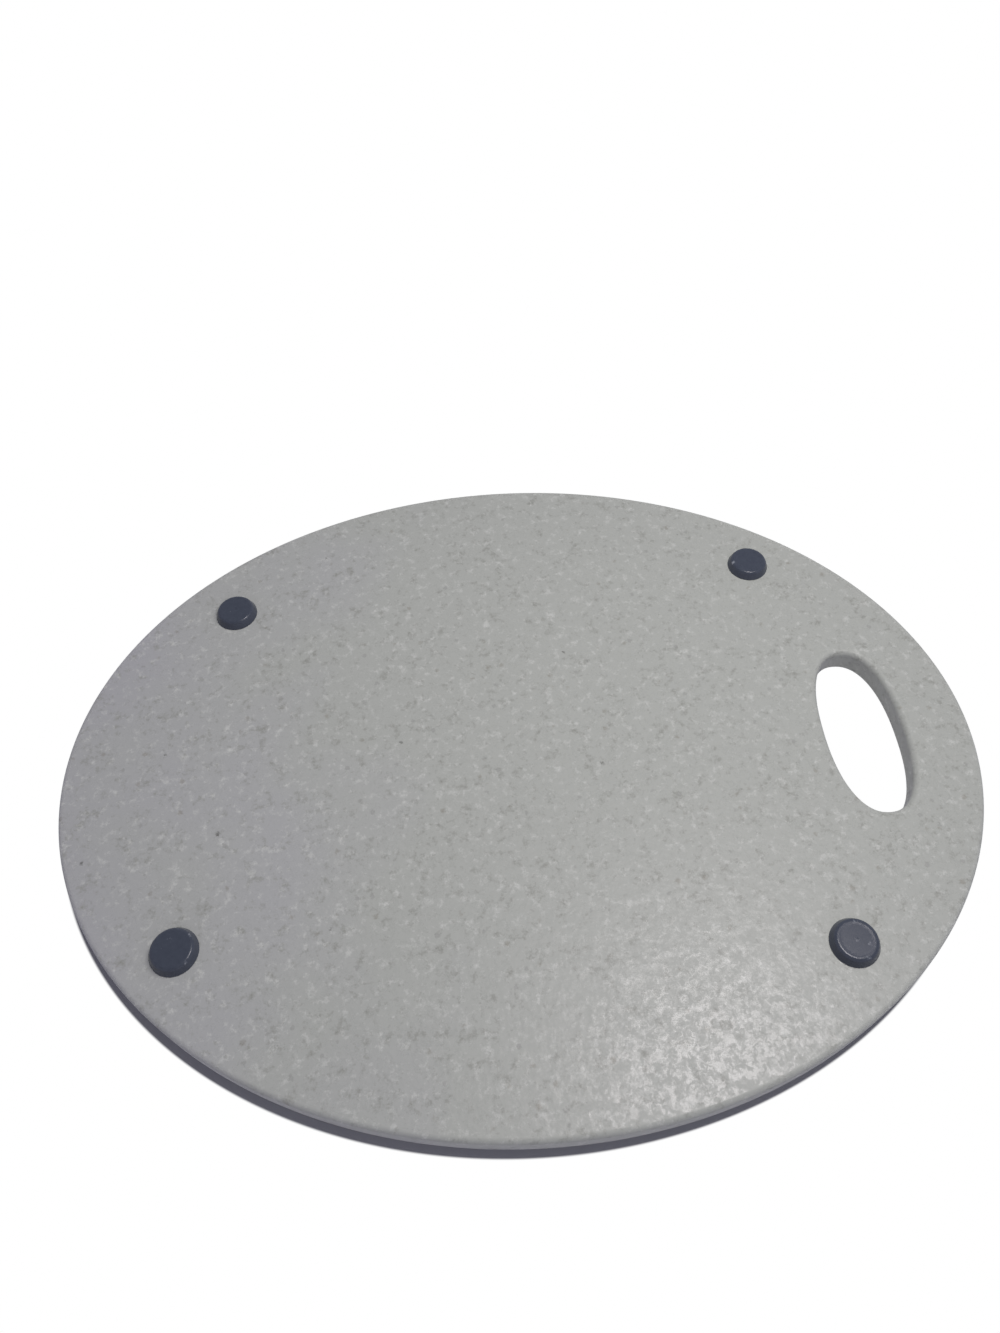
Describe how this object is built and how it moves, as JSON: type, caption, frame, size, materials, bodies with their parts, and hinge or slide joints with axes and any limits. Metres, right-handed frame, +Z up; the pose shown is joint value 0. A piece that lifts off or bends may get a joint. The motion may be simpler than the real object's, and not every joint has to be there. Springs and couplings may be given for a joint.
{
  "type": "oval cutting board",
  "caption": "Oval kitchen cutting board with a granite-look plastic panel, rounded edges, a hand hole near one end and push-in rubber feet.",
  "frame": {"origin": "on the cutting face, at the middle of the oval", "axes": "+X along the oval's long axis to the end with the hand hole, +Y across the board, +Z up out of the face that carries the feet; the board lies on its cutting face with the feet turned up"},
  "size_m": [0.38, 0.3, 0.0158],
  "materials": {
    "granite_look_polypropylene": "pale grey with fine dark, brown and white flecks, satin, finely pebbled by the mould",
    "foot_rubber": "dark slate grey, satin, moulded"
  },
  "bodies": {
    "root": {"board_panel": "granite_look_polypropylene", "foot_hole_end_far": "foot_rubber", "foot_hole_end_near": "foot_rubber", "foot_plain_end_far": "foot_rubber", "foot_plain_end_near": "foot_rubber"}
  },
  "joints": []
}
